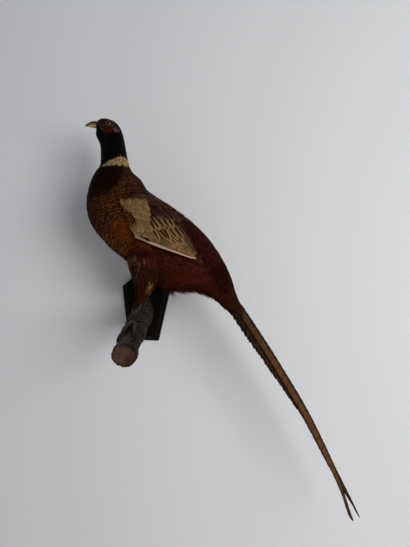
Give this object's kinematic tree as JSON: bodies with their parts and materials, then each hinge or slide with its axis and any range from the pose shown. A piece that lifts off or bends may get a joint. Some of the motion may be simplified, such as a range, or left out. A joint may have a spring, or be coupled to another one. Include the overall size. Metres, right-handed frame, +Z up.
{
  "type": "taxidermy pheasant",
  "caption": "Mounted cock pheasant with a long tapering tail, standing head-up on a cut branch that juts from a small dark tapered wall board.",
  "frame": {"origin": "on the flat back face of the wall board, below the place where the branch leaves it, 2 mm from the board's middle line", "axes": "+Z up, +Y into the wall (outward normal of the board's back face), +X to the right as one faces the wall; the bird looks towards -X and its left side faces -Y"},
  "size_m": [0.5035, 0.2438, 0.7379],
  "materials": {
    "crown_feathers": "dull bronze-green crown feathers",
    "neck_feathers": "glossy dark blue-green feathers",
    "ring_feathers": "matt off-white feathers",
    "body_feathers": "copper feathers with dark edges, satin",
    "rump_feathers": "chestnut hair-like feathers, satin",
    "wing_feathers": "sandy feathers with dark centres, matt",
    "flight_feathers": "pale barred flight feathers, matt",
    "thigh_feathers": "dark golden-brown feathers, matt",
    "tail_feathers": "olive-buff feathers with dark bars, satin",
    "horn": "pale horn, satin",
    "eye": "glass eye with an amber iris",
    "wattle": "dried red skin, matt",
    "leg_scale": "dried scaly skin, satin",
    "claw": "dark horn, satin",
    "bark": "rough bark with a sawn end",
    "board": "moulded wood, black gloss paint"
  },
  "bodies": {
    "root": {"head": "crown_feathers", "bill_upper": "horn", "bill_lower": "horn", "eye_left": "eye", "wattle_left": "wattle", "ear_tuft_left": "neck_feathers", "eye_right": "eye", "wattle_right": "wattle", "ear_tuft_right": "neck_feathers", "neck": "neck_feathers", "neck_ring": "ring_feathers", "trunk": "body_feathers", "rump": "rump_feathers", "wing_left_coverts": "wing_feathers", "wing_left_secondaries": "wing_feathers", "wing_left_primaries": "flight_feathers", "wing_right_coverts": "wing_feathers", "wing_right_secondaries": "wing_feathers", "wing_right_primaries": "flight_feathers", "branch": "bark", "board": "board", "thigh_left": "thigh_feathers", "spur_left": "claw", "tarsus_left": "leg_scale", "toe_left_middle": "leg_scale", "claw_left_middle": "claw", "toe_left_inner": "leg_scale", "claw_left_inner": "claw", "toe_left_outer": "leg_scale", "claw_left_outer": "claw", "toe_left_hind": "leg_scale", "claw_left_hind": "claw", "thigh_right": "thigh_feathers", "spur_right": "claw", "tarsus_right": "leg_scale", "toe_right_middle": "leg_scale", "claw_right_middle": "claw", "toe_right_inner": "leg_scale", "claw_right_inner": "claw", "toe_right_outer": "leg_scale", "claw_right_outer": "claw", "toe_right_hind": "leg_scale", "claw_right_hind": "claw", "tail_left_1": "tail_feathers", "tail_left_2": "tail_feathers", "tail_left_3": "tail_feathers", "tail_left_4": "tail_feathers", "tail_left_5": "tail_feathers", "tail_right_1": "tail_feathers", "tail_right_2": "tail_feathers", "tail_right_3": "tail_feathers", "tail_right_4": "tail_feathers", "tail_right_5": "tail_feathers"}
  },
  "joints": []
}
